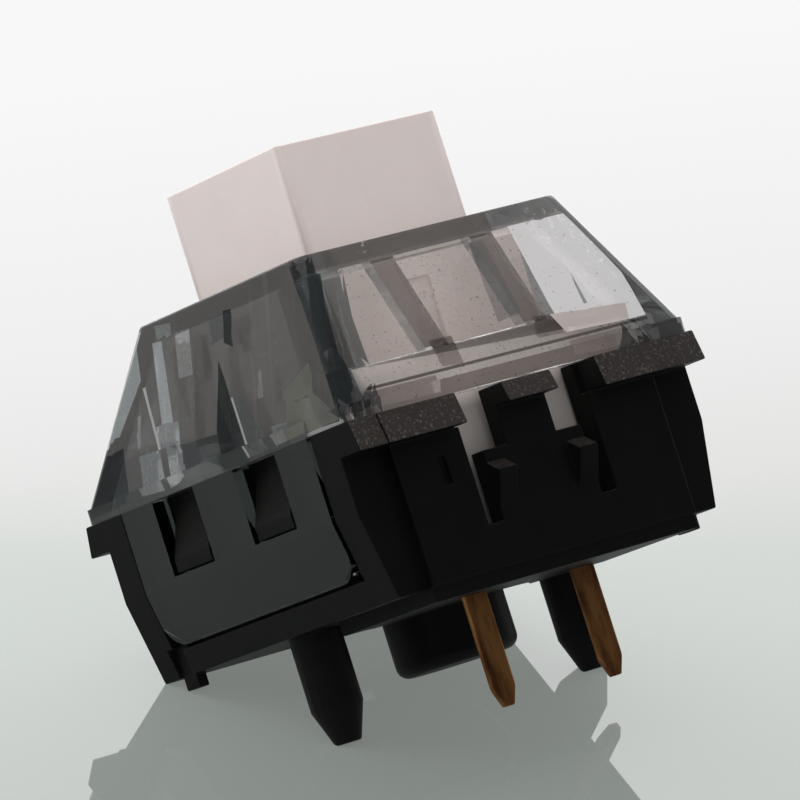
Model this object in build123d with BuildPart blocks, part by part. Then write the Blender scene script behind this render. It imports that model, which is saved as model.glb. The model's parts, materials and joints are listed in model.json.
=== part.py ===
from build123d import *
import os

# A mechanical key switch for a plate or a circuit board, in millimetres.
# Z runs up the stem, and the origin is the centre of the centre post on the board's face.
# The pins are on the -Y side, the flaps of the clear housing on the -X and +X sides.

os.makedirs("parts", exist_ok=True)

# Main sizes
body_x = 14.0
body_y = 14.0
flange_out = 0.8
rim_z = 6.0
cover_height = 5.45
stem_proud = 3.75
travel = 3.6
stem_x = 6.5
stem_y = 6.3
half_x = body_x / 2
flange_y = body_y + 2 * flange_out

# Heights above the board
wall_bottom = 0.45
floor_top = 1.5
taper_start = 3.25
flange_thick = 1.0
crown_thick = 0.85
flange_bottom = rim_z - flange_thick
top_face_z = rim_z + cover_height
ceiling_z = top_face_z - crown_thick
stem_top_z = top_face_z + stem_proud

# Lower housing, seen from above
corner_step = 0.35
corner_y = body_y - 2 * corner_step
panel_edge = 1.65
panel_x = body_x - 2 * panel_edge
flange_lean = 0.22
taper_in = 0.55
wall_x = 1.3
wall_y = 0.95
inner_x = body_x - 2 * wall_x
inner_y = body_y - 2 * wall_y
pad_corner_length = 1.1
pad_corner_x = half_x - pad_corner_length
pad_corner_step = 0.07
plinth_edge = 0.1
plinth_width = 5.7
plinth_y0 = plinth_edge - body_y / 2
plinth_y1 = plinth_y0 + plinth_width
plinth_relief = 0.9
foot_x = 0.4
foot_y = 0.75
foot_from_end = 1.65
foot_at_y = body_y / 2 - foot_from_end
foot_inset = 0.1
nick_from_edge = 1.75
nick_x = nick_from_edge - panel_x / 2
nick_w = 0.3
nick_z0 = 3.35
nick_z1 = 4.25
nick_depth = 0.15

# Spring tongue on the pin side and on the lamp side
tongue_half = 2.0
tongue_slot = 0.6
tongue_root_z = 1.85
tongue_thick = 0.65
tongue_shoulder_z = rim_z - 1.9
neck_half = 1.0
notch_half = 2.5
notch_z = rim_z - 1.05
pad_gap = 0.3
pad_inner_x = notch_half + pad_gap
head_z = rim_z - 0.7
head_top_gap = 0.05
head_out = 0.8
barb_width = 0.75
barb_out = 0.5
barb_tip_z = tongue_shoulder_z - 0.72
barb_low_z = barb_tip_z - 1.13

# Flaps of the clear housing, and the recesses and latches that hold them
recess_edge = 1.6
recess_y = body_y - 2 * recess_edge
recess_depth = 0.65
recess_z = 1.3
flap_gap = 0.05
flap_end_gap = 0.1
flap_proud = 0.05
flap_round = 0.9
window_y0 = 1.15
window_from_end = 1.9
window_y1 = recess_y / 2 - window_from_end
window_z0 = rim_z - 2.5
window_z1 = rim_z - 0.05
latch_gap = 0.15
latch_seat_gap = 0.05
latch_top_z = rim_z - 0.4
latch_flush_z = window_z0 + 0.5

# Post, pegs and the pole's bore
post_d = 4.0
post_length = 1.75
post_round = 0.4
peg_d = 1.7
peg_from_side = 1.92
peg_at_x = half_x - peg_from_side
peg_length = 3.15
peg_taper_length = 1.2
peg_tip_d = 0.85
pole_d = 2.0
pole_fit = 0.05
boss_wall = 0.45
boss_d = pole_d + 2 * (pole_fit + boss_wall)
boss_height = 2.8
boss_top_z = floor_top + boss_height
bore_bottom_z = 0.3 - post_length
pole_bottom_z = rim_z - 3.7

# Stem
stem_wall = 0.65
stem_round = 0.35
stem_fit = 0.15
socket_depth = 3.8
cross_length = 4.0
cross_x_thick = 1.3
cross_y_thick = 1.1
stop_gap = 0.02
shoulder_x = 1.1
shoulder_y = 0.15
skirt_x = stem_x + 2 * shoulder_x
skirt_y = stem_y + 2 * shoulder_y
skirt_bottom_z = rim_z + 0.8
skirt_wall = 0.8
web_thick = 0.9
leg_x = 2.4
leg_bottom_z = rim_z - 0.7
leg_thick = 0.42
cam_depth = 0.45
cam_x = 1.1

# Clear housing
rim_edge_x = 0.05
rim_edge_y = 0.11
rim_x = body_x - 2 * rim_edge_x
rim_y = flange_y - 2 * (flange_lean + rim_edge_y)
rim_height = 0.5
rim_in = 0.08
hull_round = 0.4
crown_round = 0.55
crown_edge = 0.12
cover_wall = 0.75
rim_wall_x = 0.75
rim_wall_y = 0.92
cavity_round = 1.0
shelf_wall = 0.25
shelf_end_gap = 0.25
cavity_x0 = rim_x - 2 * rim_wall_x
cavity_y0 = rim_y - 2 * rim_wall_y
skirt_gap_x = 0.2
skirt_gap_pins = 1.25
skirt_gap_lamp = 0.05
crown_x = skirt_x + 2 * (skirt_gap_x + cover_wall)
crown_y0 = -skirt_y / 2 - skirt_gap_pins - cover_wall
crown_y1 = skirt_y / 2 + skirt_gap_lamp + cover_wall
guide_x = 4.2
guide_from_skirt = 0.65
guide_from_wall = 0.45
guide_fit = 0.15
guide_y0 = skirt_y / 2 + guide_from_skirt
guide_y1 = inner_y / 2 - guide_from_wall
guide_bottom_z = 2.6
guide_under_hull = 0.3

# Guide rails of the stem, and the ribs beside them
rail_y = 1.4
rail_bottom_z = rim_z - 0.4
rail_top_z = rim_z + 3.1
rail_gap = 0.138
rail_fit = 0.05
rib_thick = 0.55
rib_gap = 0.3
rib_inner_x = skirt_x / 2 + rib_gap
rib_low_z = rim_z + 0.9

# Contact chamber
chamber_clear = 0.1
chamber_from_skirt = 0.15
chamber_end_x0 = 0.4
chamber_end_x1 = 0.35
chamber_x0 = chamber_end_x0 - inner_x / 2
chamber_x1 = inner_x / 2 - chamber_end_x1
chamber_y0 = chamber_clear - inner_y / 2
chamber_y1 = -skirt_y / 2 - chamber_from_skirt
chamber_at_x = (chamber_x0 + chamber_x1) / 2
chamber_at_y = (chamber_y0 + chamber_y1) / 2
chamber_top_z = rim_z + 1.3
chamber_wall = 0.35
band_x0 = 1.55
band_x1 = 2.45
band_depth = 0.45
band_z = chamber_top_z + chamber_clear
shelf_y = chamber_y0 - shelf_wall

# Pusher
push_z = rim_z - 0.1
push_stroke = 0.3
pusher_w = 0.9
pusher_h = 0.6
pusher_fit = 0.05
pusher_flange = 0.2
pusher_flange_t = 0.25
pusher_nose = 0.03
pusher_gap = 0.03

# Contacts
pin_w = 0.9
strip_t = 0.25
pin_length = 3.6
pin_point = 0.65
pin_tip_w = 0.35
pin_fit = 0.02
point_x = -0.9
point_z = floor_top + 3.4
point_d = 0.7
point_t = 0.1
point_edge = 0.25
contact_gap = 0.43
leaf_t = 0.15
leaf_gap = 0.06
nose_gap = 0.045
leaf_y = chamber_y1 - chamber_wall - pusher_fit - pusher_flange_t - pusher_nose - nose_gap - leaf_t / 2
fixed_from_end = 2.76
fixed_pin_x = chamber_x0 + fixed_from_end
fixed_pin_y = leaf_y - leaf_t / 2 - 2 * point_t - contact_gap - strip_t / 2
fixed_shoulder = 0.76
fixed_top_z = floor_top + 4.0
moving_from_end = 1.54
moving_pin_x = chamber_x1 - moving_from_end
moving_pin_y = chamber_y1 + 0.91
bridge_top_z = floor_top + 1.0
tab_top_z = floor_top + 3.4
tab_reach = 0.51
tab_left_x = moving_pin_x - tab_reach
rivet_x = moving_pin_x - 0.06
rivet_z = floor_top + 2.9
rivet_d = 0.5
rivet_head_d = 0.8
rivet_head_t = 0.15
rivet_play = 0.06
leaf_eye = 0.45
leaf_step_x = 0.9
leaf_over_push = 0.35
leaf_past_point = 0.6
leaf_under_point = 0.5
leaf_slope = 0.2
leaf_round = 0.12
leaf_hole_gap = 0.06

# Return spring
wire_d = 0.26
spring_from_leg = 0.35
spring_d = skirt_y - 2 * (cam_depth + leg_thick + spring_from_leg) - wire_d
spring_turns = 9.5


def side_x(z):
    """Half width of the lower housing's outer face at a height."""
    share = (taper_start - z) / (taper_start - wall_bottom)
    return half_x - taper_in * max(0.0, share)


def side_strip(inner, outer, low_z, high_z):
    """Outline of a strip that follows the flap side's face, in the XZ plane."""
    return [
        (-half_x - outer, high_z),
        (-half_x - outer, taper_start),
        (-side_x(low_z) - outer, low_z),
        (-side_x(low_z) + inner, low_z),
        (-half_x + inner, taper_start),
        (-half_x + inner, high_z),
    ]


def cam_y(z):
    """Where the cam's face lies at a height, with the stem at rest."""
    return -skirt_y / 2 + cam_depth - push_stroke / travel * (z - leg_bottom_z)


def cavity_y(z):
    """Inner face of the clear housing on the pin side at a height."""
    share = (z - rim_z) / (ceiling_z - rim_z)
    return -cavity_y0 / 2 + share * (cavity_y0 / 2 + crown_y0 + cover_wall)


def cavity_x(z):
    """Half width of the clear housing's cavity at a height."""
    share = (z - rim_z) / (ceiling_z - rim_z)
    return cavity_x0 / 2 - share * (cavity_x0 - crown_x + 2 * cover_wall) / 2


def hull_z(y):
    """Height of the clear housing's outer face on the lamp side at a place along Y."""
    share = (rim_y / 2 - rim_in - y) / (rim_y / 2 - rim_in - crown_y1)
    return rim_z + rim_height + share * (cover_height - rim_height)


def pin_outline(pin_x):
    """Outline of a contact pin, with its point, in the XZ plane."""
    return [
        (pin_x - pin_w / 2, floor_top),
        (pin_x - pin_w / 2, pin_point - pin_length),
        (pin_x - pin_tip_w / 2, -pin_length),
        (pin_x + pin_tip_w / 2, -pin_length),
        (pin_x + pin_w / 2, pin_point - pin_length),
        (pin_x + pin_w / 2, floor_top),
    ]


# How far the stem's rails reach from the middle
rail_reach = cavity_x(rail_top_z) - rail_gap

# Lower housing
with BuildPart() as bottom_housing:
    # Walls between the flap sides, tapered towards the board
    with BuildSketch(Plane.XZ):
        with BuildLine():
            Polyline(
                (-half_x, rim_z),
                (half_x, rim_z),
                (half_x, taper_start),
                (half_x - taper_in, wall_bottom),
                (-half_x + taper_in, wall_bottom),
                (-half_x, taper_start),
                close=True,
            )
        make_face()
    extrude(amount=corner_y / 2, both=True)
    # Raised panels on the pin side and the lamp side, which fill the plate's hole
    with BuildSketch(Plane.XY.offset(wall_bottom)):
        Rectangle(panel_x, body_y)
    extrude(amount=flange_bottom - wall_bottom)
    # Plinth under the pin side
    with BuildSketch(Plane.XY):
        with Locations((0, (plinth_y0 + plinth_y1) / 2)):
            Rectangle(panel_x, plinth_y1 - plinth_y0)
        Circle(post_d / 2 + plinth_relief, mode=Mode.SUBTRACT)
        with Locations((-peg_at_x, 0), (peg_at_x, 0)):
            Circle(peg_d / 2 + plinth_relief, mode=Mode.SUBTRACT)
    extrude(amount=wall_bottom)
    # Room for the mechanism
    floor_x = side_x(floor_top) - half_x + inner_x / 2
    with BuildSketch(Plane.XZ):
        with BuildLine():
            Polyline(
                (-inner_x / 2, rim_z),
                (inner_x / 2, rim_z),
                (inner_x / 2, taper_start),
                (floor_x, floor_top),
                (-floor_x, floor_top),
                (-inner_x / 2, taper_start),
                close=True,
            )
        make_face()
    extrude(amount=inner_y / 2, both=True, mode=Mode.SUBTRACT)
    # Recesses for the flaps, on both sides
    with BuildSketch(Plane.XZ):
        with BuildLine():
            Polyline(side_strip(recess_depth, 1, recess_z, rim_z), close=True)
        make_face()
        mirror(about=Plane.YZ)
    extrude(amount=recess_y / 2, both=True, mode=Mode.SUBTRACT)
    # Latch wedges that stand in the flaps' windows
    latch_length = window_y1 - window_y0 - 2 * latch_gap
    for latch_start in (window_y0 + latch_gap, -window_y1 + latch_gap):
        with BuildSketch(Plane.XZ.offset(latch_start)):
            with BuildLine():
                Polyline(
                    (-half_x + recess_depth, latch_top_z),
                    (-half_x, latch_flush_z),
                    (-half_x, window_z0 + latch_seat_gap),
                    (-half_x + recess_depth, window_z0 + latch_seat_gap),
                    close=True,
                )
            make_face()
            mirror(about=Plane.YZ)
        extrude(amount=latch_length)
    # Flange pads along the pin side and the lamp side
    for pad_start, pad_end, pad_step in (
        (pad_inner_x, pad_corner_x, 0),
        (pad_corner_x, half_x, pad_corner_step),
    ):
        with BuildSketch(Plane.YZ.offset(pad_start)):
            with BuildLine():
                Polyline(
                    (-corner_y / 2 + 0.2, flange_bottom),
                    (-flange_y / 2 + pad_step, flange_bottom),
                    (-flange_y / 2 + flange_lean + pad_step, rim_z),
                    (-corner_y / 2 + 0.2, rim_z),
                    close=True,
                )
            make_face()
            mirror(about=Plane.YZ)
        extrude(amount=pad_end - pad_start)
        with BuildSketch(Plane.YZ.offset(-pad_end)):
            with BuildLine():
                Polyline(
                    (-corner_y / 2 + 0.2, flange_bottom),
                    (-flange_y / 2 + pad_step, flange_bottom),
                    (-flange_y / 2 + flange_lean + pad_step, rim_z),
                    (-corner_y / 2 + 0.2, rim_z),
                    close=True,
                )
            make_face()
            mirror(about=Plane.YZ)
        extrude(amount=pad_end - pad_start)
    # Notch in the rim above each tongue
    with BuildSketch(Plane.XY.offset(notch_z)):
        with Locations((0, -body_y / 2), (0, body_y / 2)):
            Rectangle(2 * notch_half, body_y - inner_y + 0.4)
    extrude(amount=rim_z - notch_z, mode=Mode.SUBTRACT)
    # Slots beside each tongue, and the space behind it that lets it flex
    slot_centre = tongue_half + tongue_slot / 2
    tongue_back = body_y / 2 - tongue_thick
    with BuildSketch(Plane.XY.offset(tongue_root_z)):
        with Locations(*[(x, y) for x in (-slot_centre, slot_centre) for y in (-body_y / 2, body_y / 2)]):
            Rectangle(tongue_slot, body_y - inner_y + 0.4)
        with Locations((0, -tongue_back / 2), (0, tongue_back / 2)):
            Rectangle(2 * tongue_half, tongue_back)
    extrude(amount=rim_z - tongue_root_z, mode=Mode.SUBTRACT)
    # Narrow neck and head of each tongue
    with BuildSketch(Plane.XY.offset(tongue_shoulder_z)):
        with Locations((0, -body_y / 2), (0, body_y / 2)):
            Rectangle(2 * tongue_half, body_y - inner_y + 0.4)
    extrude(amount=rim_z - tongue_shoulder_z, mode=Mode.SUBTRACT)
    head_top_z = rim_z - head_top_gap
    with BuildSketch(Plane.YZ.offset(-neck_half)):
        with BuildLine():
            Polyline(
                (-tongue_back, tongue_shoulder_z - 0.2),
                (-body_y / 2, tongue_shoulder_z - 0.2),
                (-body_y / 2, head_z),
                (-body_y / 2 - head_out, head_z),
                (-body_y / 2 - head_out + flange_lean, head_top_z),
                (-tongue_back, head_top_z),
                close=True,
            )
        make_face()
        mirror(about=Plane.YZ)
    extrude(amount=2 * neck_half)
    # Barbs that catch under the plate
    for barb_start in (-tongue_half, tongue_half - barb_width):
        with BuildSketch(Plane.YZ.offset(barb_start)):
            with BuildLine():
                Polyline(
                    (-tongue_back, tongue_shoulder_z),
                    (-body_y / 2 - barb_out, barb_tip_z),
                    (-body_y / 2 - barb_out, barb_tip_z - 0.1),
                    (-body_y / 2, barb_low_z),
                    (-tongue_back, barb_low_z),
                    close=True,
                )
            make_face()
            mirror(about=Plane.YZ)
        extrude(amount=barb_width)
    # Small notch in the panel on the pin side
    with BuildSketch(Plane.XZ.offset(body_y / 2 - nick_depth)):
        with Locations((nick_x, (nick_z0 + nick_z1) / 2)):
            Rectangle(nick_w, nick_z1 - nick_z0)
    extrude(amount=1, mode=Mode.SUBTRACT)
    # Gap under each flap's end, above the foot
    for turn in (1, -1):
        with BuildSketch(Plane.XY):
            with Locations((-turn * half_x, turn * foot_at_y)):
                Rectangle(2 * (half_x - side_x(wall_bottom) + foot_inset), foot_y)
        extrude(amount=recess_z + 0.1, mode=Mode.SUBTRACT)
    # Centre post, pegs and feet
    with BuildSketch(Plane.XY.offset(-post_length)):
        Circle(post_d / 2)
    extrude(amount=post_length + floor_top)
    post_edge = bottom_housing.edges().filter_by(GeomType.CIRCLE).sort_by(Axis.Z)[0]
    fillet(post_edge, post_round)
    for peg_x in (-peg_at_x, peg_at_x):
        with BuildSketch(Plane.XZ) as peg_outline:
            with BuildLine():
                Polyline(
                    (peg_x, wall_bottom + 0.3),
                    (peg_x, -peg_length),
                    (peg_x + peg_tip_d / 2, -peg_length),
                    (peg_x + peg_d / 2, -peg_length + peg_taper_length),
                    (peg_x + peg_d / 2, wall_bottom + 0.3),
                    close=True,
                )
            make_face()
        revolve(axis=Axis((peg_x, 0, 0), (0, 0, 1)))
    for turn in (1, -1):
        foot_centre = turn * (-side_x(wall_bottom) + foot_inset + foot_x / 2)
        with BuildSketch(Plane.XY):
            with Locations((foot_centre, turn * foot_at_y)):
                Rectangle(foot_x, foot_y)
        extrude(amount=floor_top)
    # Boss for the spring, with the pole's bore
    with BuildSketch(Plane.XY.offset(floor_top)):
        Circle(boss_d / 2)
    extrude(amount=boss_top_z - floor_top)
    with BuildSketch(Plane.XY.offset(bore_bottom_z)):
        Circle(pole_d / 2 + pole_fit)
    extrude(amount=boss_top_z - bore_bottom_z, mode=Mode.SUBTRACT)
    # Guide ribs beside the stem's rails
    rib_centre_y = rail_y / 2 + rail_fit + rib_thick / 2
    rib_outer_x = (inner_x + body_x - 2 * recess_depth) / 4
    rib_centre_x = (rib_inner_x + rib_outer_x) / 2
    with BuildSketch(Plane.XY.offset(floor_top)):
        with Locations(*[(x, y) for x in (-rib_centre_x, rib_centre_x) for y in (-rib_centre_y, rib_centre_y)]):
            Rectangle(rib_outer_x - rib_inner_x, rib_thick)
    extrude(amount=rim_z - floor_top)
    # Channels that the stem's rails run in
    with BuildSketch(Plane.XY.offset(floor_top)):
        with Locations((-rail_reach / 2, 0), (rail_reach / 2, 0)):
            Rectangle(rail_reach + 2 * rail_fit, rail_y + 2 * rail_fit)
        Circle(spring_d / 2 + wire_d, mode=Mode.SUBTRACT)
    extrude(amount=rim_z - floor_top, mode=Mode.SUBTRACT)
    # Lamp slot and the two slots for the terminals
    with BuildSketch(Plane.XY):
        with Locations((0, (guide_y0 + guide_y1) / 2)):
            Rectangle(guide_x + 2 * guide_fit, guide_y1 - guide_y0 + 2 * guide_fit)
        with Locations((fixed_pin_x, fixed_pin_y), (moving_pin_x, moving_pin_y)):
            Rectangle(pin_w + 2 * pin_fit, strip_t + 2 * pin_fit)
    extrude(amount=floor_top, mode=Mode.SUBTRACT)
bottom_housing.part.label = "bottom_housing"
export_step(bottom_housing.part, "parts/bottom_housing.step")

# Clear upper housing
with BuildPart() as top_housing:
    # Rim, and the sloped hull up to the crown, which sits nearer to the pin side
    with BuildSketch(Plane.XY.offset(rim_z)):
        RectangleRounded(rim_x, rim_y, hull_round)
    extrude(amount=rim_height)
    crown_y = crown_y1 - crown_y0
    crown_at = (crown_y0 + crown_y1) / 2
    with BuildSketch(Plane.XY.offset(rim_z + rim_height)):
        RectangleRounded(rim_x - 2 * rim_in, rim_y - 2 * rim_in, hull_round)
    with BuildSketch(Plane.XY.offset(top_face_z)):
        with Locations((0, crown_at)):
            RectangleRounded(crown_x, crown_y, crown_round)
    loft()
    fillet(top_housing.faces().sort_by(Axis.Z)[-1].outer_wire().edges(), crown_edge)
    # Room inside, sloped like the hull
    cavity_x1 = crown_x - 2 * cover_wall
    cavity_y1 = crown_y - 2 * cover_wall
    with BuildSketch(Plane.XY.offset(rim_z)) as cavity_foot:
        Rectangle(cavity_x0, cavity_y0)
        fillet(cavity_foot.vertices().group_by(Axis.Y)[0], cavity_round)
    with BuildSketch(Plane.XY.offset(ceiling_z)) as cavity_top:
        with Locations((0, crown_at)):
            Rectangle(cavity_x1, cavity_y1)
        fillet(cavity_top.vertices().group_by(Axis.Y)[0], cavity_round)
    loft(mode=Mode.SUBTRACT)
    # Wider room below the shelf, for the contact chamber
    with BuildSketch(Plane.XY.offset(rim_z)):
        with Locations((chamber_at_x, (shelf_y + chamber_y1) / 2)):
            Rectangle(chamber_x1 - chamber_x0 + 2 * shelf_end_gap, chamber_y1 - shelf_y)
    extrude(amount=band_z - rim_z, mode=Mode.SUBTRACT)
    # Flaps with rounded lower corners
    with BuildSketch(Plane.XZ):
        with BuildLine():
            Polyline(
                side_strip(recess_depth - flap_gap, flap_proud, recess_z + flap_end_gap, rim_z + rim_height),
                close=True,
            )
        make_face()
        mirror(about=Plane.YZ)
    extrude(amount=recess_y / 2 - flap_end_gap, both=True)
    flap_corners = (
        top_housing.edges()
        .filter_by(lambda edge: abs(edge.center().Z - recess_z - flap_end_gap) < 0.01)
        .filter_by(Axis.X)
    )
    fillet(flap_corners, flap_round)
    # Two windows in each flap
    window_centre_y = (window_y0 + window_y1) / 2
    window_centre_z = (window_z0 + window_z1) / 2
    with BuildSketch(Plane.YZ):
        with Locations((-window_centre_y, window_centre_z), (window_centre_y, window_centre_z)):
            Rectangle(window_y1 - window_y0, window_z1 - window_z0)
    extrude(amount=half_x + 1, both=True, mode=Mode.SUBTRACT)
    # Two ribs inside the wall on the pin side
    for band_start in (-band_x1, band_x0):
        with BuildSketch(Plane.YZ.offset(band_start)):
            with BuildLine():
                Polyline(
                    (cavity_y(band_z) - 0.3, band_z),
                    (cavity_y(ceiling_z) - 0.3, ceiling_z),
                    (cavity_y(ceiling_z) + band_depth, ceiling_z),
                    (cavity_y(band_z) + band_depth, band_z),
                    close=True,
                )
            make_face()
        extrude(amount=band_x1 - band_x0)
    # Guide ribs beside the stem's rails, over those of the lower housing
    with BuildSketch(Plane.XZ.offset(-rail_y / 2 - rail_fit - rib_thick)) as rib_outline:
        with BuildLine():
            Polyline(
                (-rib_inner_x, rib_low_z),
                (-rib_inner_x, ceiling_z),
                (-cavity_x(ceiling_z) - 0.3, ceiling_z),
                (-cavity_x(rib_low_z) - 0.3, rib_low_z),
                close=True,
            )
        make_face()
        mirror(about=Plane.YZ)
    extrude(amount=rib_thick)
    with BuildSketch(Plane.XZ.offset(rail_y / 2 + rail_fit)):
        add(rib_outline.sketch_local)
    extrude(amount=rib_thick)
    # Light guide over the lamp slot
    with BuildSketch(Plane.YZ.offset(-guide_x / 2)):
        with BuildLine():
            Polyline(
                (guide_y0, guide_bottom_z),
                (guide_y1, guide_bottom_z),
                (guide_y1, hull_z(guide_y1) - guide_under_hull),
                (guide_y0, min(hull_z(guide_y0), top_face_z) - guide_under_hull),
                close=True,
            )
        make_face()
    extrude(amount=guide_x)
    # Opening for the stem
    with BuildSketch(Plane.XY.offset(ceiling_z)):
        RectangleRounded(stem_x + 2 * stem_fit, stem_y + 2 * stem_fit, stem_round + stem_fit)
    extrude(amount=top_face_z - ceiling_z, mode=Mode.SUBTRACT)
top_housing.part.label = "top_housing"
export_step(top_housing.part, "parts/top_housing.step")

# Stem
skirt_top_z = ceiling_z - stop_gap
web_bottom_z = skirt_top_z - web_thick
with BuildPart() as stem:
    # Square wall round the keycap cross
    with BuildSketch(Plane.XY.offset(web_bottom_z)):
        RectangleRounded(stem_x, stem_y, stem_round)
    extrude(amount=stem_top_z - web_bottom_z)
    with BuildSketch(Plane.XY.offset(stem_top_z - socket_depth)):
        RectangleRounded(stem_x - 2 * stem_wall, stem_y - 2 * stem_wall, stem_round)
    extrude(amount=socket_depth, mode=Mode.SUBTRACT)
    with BuildSketch(Plane.XY.offset(stem_top_z - socket_depth)):
        Rectangle(cross_length, cross_x_thick)
        Rectangle(cross_y_thick, cross_length)
    extrude(amount=socket_depth)
    chamfer(stem.faces().sort_by(Axis.Z)[-1].outer_wire().edges(), 0.08)
    # Skirt, open below
    with BuildSketch(Plane.XY.offset(skirt_bottom_z)):
        Rectangle(skirt_x, skirt_y)
    extrude(amount=skirt_top_z - skirt_bottom_z)
    with BuildSketch(Plane.XY.offset(skirt_bottom_z)):
        Rectangle(skirt_x - 2 * skirt_wall, skirt_y - 2 * skirt_wall)
    extrude(amount=web_bottom_z - skirt_bottom_z, mode=Mode.SUBTRACT)
    # Pole that runs in the bore
    with BuildSketch(Plane.XY.offset(pole_bottom_z)):
        Circle(pole_d / 2)
    extrude(amount=web_bottom_z - pole_bottom_z)
    # Guide rails on the flap sides
    with BuildSketch(Plane.XY.offset(rail_bottom_z)):
        Rectangle(2 * rail_reach, rail_y)
        Rectangle(skirt_x - 2 * skirt_wall, rail_y, mode=Mode.SUBTRACT)
    extrude(amount=rail_top_z - rail_bottom_z)
    # Leg on the pin side, with the cam that drives the pusher
    with BuildSketch(Plane.YZ.offset(-leg_x / 2)):
        with BuildLine():
            Polyline(
                (cam_y(leg_bottom_z), leg_bottom_z),
                (cam_y(web_bottom_z), web_bottom_z),
                (cam_y(leg_bottom_z) + leg_thick, web_bottom_z),
                (cam_y(leg_bottom_z) + leg_thick, leg_bottom_z),
                close=True,
            )
        make_face()
    extrude(amount=leg_x)
    groove_top_z = push_z + pusher_h / 2 + travel + 0.1
    with BuildSketch(Plane.YZ.offset(-cam_x / 2)):
        with BuildLine():
            Polyline(
                (-skirt_y / 2 - 1, skirt_bottom_z - 1),
                (cam_y(skirt_bottom_z - 1), skirt_bottom_z - 1),
                (cam_y(groove_top_z), groove_top_z),
                (-skirt_y / 2 - 1, groove_top_z),
                close=True,
            )
        make_face()
    extrude(amount=cam_x, mode=Mode.SUBTRACT)
stem.part.label = "stem"
export_step(stem.part, "parts/stem.step")

# Return spring, round the pole and the boss
spring_height = web_bottom_z - floor_top - wire_d
with BuildPart() as return_spring:
    with BuildLine(Plane.XY.offset(floor_top + wire_d / 2)) as coil:
        Helix(pitch=spring_height / spring_turns, height=spring_height, radius=spring_d / 2)
    with BuildSketch(Plane(origin=coil.line @ 0, z_dir=coil.line % 0)):
        Circle(wire_d / 2)
    sweep(is_frenet=True)
return_spring.part.label = "return_spring"
export_step(return_spring.part, "parts/return_spring.step")

# Fixed terminal: one stamped strip, from the pin's point up to the contact
with BuildPart() as fixed_terminal:
    with BuildSketch(Plane.XZ.offset(-fixed_pin_y - strip_t / 2)):
        with BuildLine():
            Polyline(pin_outline(fixed_pin_x), close=True)
        make_face()
        with BuildLine():
            Polyline(
                (fixed_pin_x - fixed_shoulder, floor_top),
                (fixed_pin_x - fixed_shoulder, floor_top + 1.2),
                (point_x - point_d / 2 - point_edge, floor_top + 2.2),
                (point_x - point_d / 2 - point_edge, fixed_top_z),
                (point_x + point_d / 2 + point_edge, fixed_top_z),
                (point_x + point_d / 2 + point_edge, floor_top),
                close=True,
            )
        make_face()
    extrude(amount=strip_t)
    chamfer(fixed_terminal.edges().filter_by(Axis.Z).group_by(SortBy.LENGTH)[-1], 0.05)
fixed_terminal.part.label = "fixed_terminal"
export_step(fixed_terminal.part, "parts/fixed_terminal.step")

# Fixed contact point, welded to the terminal
with BuildPart() as fixed_contact_point:
    with BuildSketch(Plane.XZ.offset(-fixed_pin_y - strip_t / 2 - point_t)):
        with Locations((point_x, point_z)):
            Circle(point_d / 2)
    extrude(amount=point_t)
fixed_contact_point.part.label = "fixed_contact_point"
export_step(fixed_contact_point.part, "parts/fixed_contact_point.step")

# Moving terminal: a pin, a low bridge under the chamber's wall, and the tab that holds the leaf
tab_y = leaf_y + leaf_t / 2 + leaf_gap + strip_t / 2
bridge_x = moving_pin_x + pin_w / 2
with BuildPart() as moving_terminal:
    with BuildSketch(Plane.XZ.offset(-moving_pin_y - strip_t / 2)):
        with BuildLine():
            Polyline(pin_outline(moving_pin_x), close=True)
        make_face()
    extrude(amount=strip_t)
    chamfer(moving_terminal.edges().filter_by(Axis.Z).group_by(SortBy.LENGTH)[-1], 0.05)
    with BuildSketch(Plane.XY.offset(floor_top)):
        with Locations((moving_pin_x, moving_pin_y)):
            Rectangle(pin_w, strip_t)
        with Locations((bridge_x - strip_t / 2, (moving_pin_y + tab_y) / 2)):
            Rectangle(strip_t, moving_pin_y - tab_y + strip_t)
    extrude(amount=bridge_top_z - floor_top)
    with BuildSketch(Plane.XY.offset(floor_top)):
        with Locations(((tab_left_x + bridge_x) / 2, tab_y)):
            Rectangle(bridge_x - tab_left_x, strip_t)
    extrude(amount=tab_top_z - floor_top)
    with BuildSketch(Plane.XZ.offset(-tab_y - strip_t / 2)):
        with Locations((rivet_x, rivet_z)):
            Circle(rivet_d / 2)
    extrude(amount=strip_t, mode=Mode.SUBTRACT)
moving_terminal.part.label = "moving_terminal"
export_step(moving_terminal.part, "parts/moving_terminal.step")

# Moving leaf: a thin spring strip with a paddle at its free end
with BuildPart() as moving_leaf:
    with BuildSketch(Plane.XZ.offset(-leaf_y - leaf_t / 2)):
        with BuildLine():
            Polyline(
                (rivet_x + leaf_eye, rivet_z - leaf_eye),
                (rivet_x + leaf_eye, rivet_z + leaf_eye),
                (leaf_step_x, rivet_z + leaf_eye),
                (leaf_step_x, push_z + leaf_over_push),
                (point_x - leaf_past_point, push_z + leaf_over_push),
                (point_x - leaf_past_point, point_z - leaf_under_point),
                (rivet_x - leaf_past_point, point_z - leaf_under_point - leaf_slope),
                (rivet_x - leaf_eye, rivet_z - leaf_eye),
                close=True,
            )
        leaf_face = make_face()
        fillet(leaf_face.vertices(), leaf_round)
        with Locations((rivet_x, rivet_z)):
            Circle(rivet_d / 2 + leaf_hole_gap, mode=Mode.SUBTRACT)
    extrude(amount=leaf_t)
moving_leaf.part.label = "moving_leaf"
export_step(moving_leaf.part, "parts/moving_leaf.step")

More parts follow.
